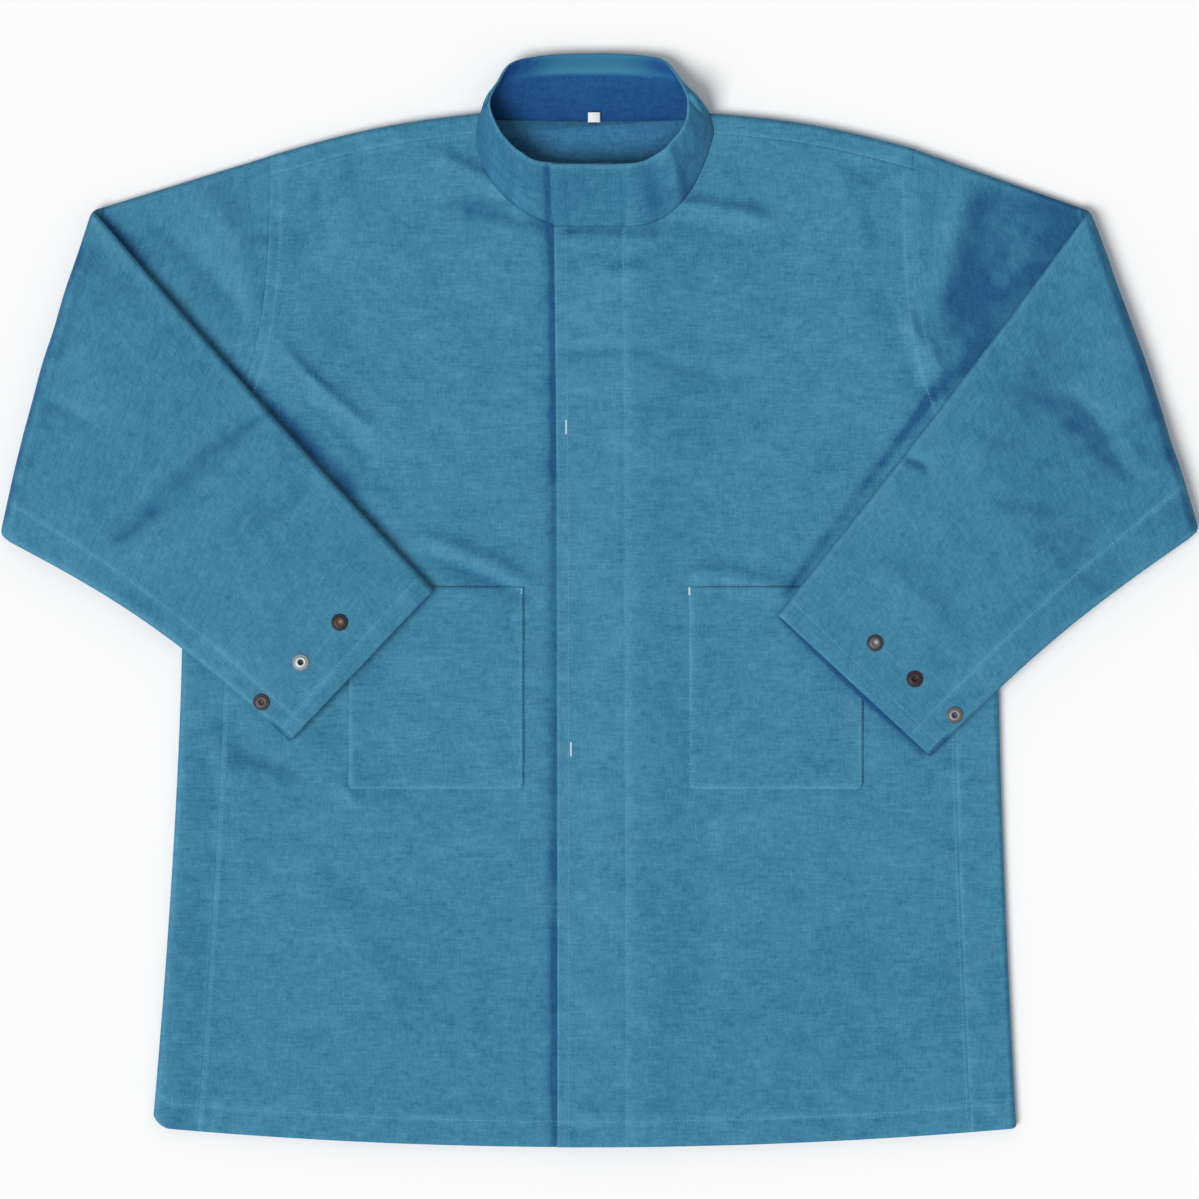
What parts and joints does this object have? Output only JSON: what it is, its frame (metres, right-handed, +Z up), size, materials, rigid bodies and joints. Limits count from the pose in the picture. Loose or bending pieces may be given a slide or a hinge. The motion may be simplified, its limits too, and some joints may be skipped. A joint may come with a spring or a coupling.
{
  "type": "work jacket",
  "caption": "Long-sleeved work jacket with stand collar, hidden snap placket and patch pockets, lying flat with its sleeves folded across the front.",
  "frame": {"origin": "on the surface that the jacket lies on, under the middle of its outline", "axes": "+X towards the wearer's left, the picture's right; +Y towards the collar, the picture's top; +Z up, out of the front"},
  "size_m": [0.8832, 0.8075, 0.0344],
  "materials": {
    "back_cloth": "woven cotton",
    "right_front_cloth": "woven cotton",
    "left_front_cloth": "woven cotton",
    "facing_cloth": "woven cotton",
    "collar_cloth": "woven cotton",
    "tag_cloth": "plain woven tape",
    "right_pocket_cloth": "woven cotton",
    "left_pocket_cloth": "woven cotton",
    "right_sleeve_cloth": "woven cotton",
    "left_sleeve_cloth": "woven cotton",
    "hidden_snap_metal": "brushed",
    "right_snap_metal": "brushed, darkened",
    "left_snap_metal": "brushed, darkened"
  },
  "bodies": {
    "root": {"back_panel": "back_cloth", "right_front": "right_front_cloth", "left_front": "left_front_cloth", "fly_facing": "facing_cloth", "collar": "collar_cloth", "size_tag": "tag_cloth", "right_pocket": "right_pocket_cloth", "left_pocket": "left_pocket_cloth", "right_sleeve": "right_sleeve_cloth", "left_sleeve": "left_sleeve_cloth", "front_snap_1": "hidden_snap_metal", "front_snap_2": "hidden_snap_metal", "front_snap_3": "hidden_snap_metal", "front_snap_4": "hidden_snap_metal", "front_snap_5": "hidden_snap_metal", "right_cuff_snap_1": "right_snap_metal", "right_cuff_snap_2": "right_snap_metal", "right_cuff_snap_3": "right_snap_metal", "left_cuff_snap_1": "left_snap_metal", "left_cuff_snap_2": "left_snap_metal", "left_cuff_snap_3": "left_snap_metal"}
  },
  "joints": []
}
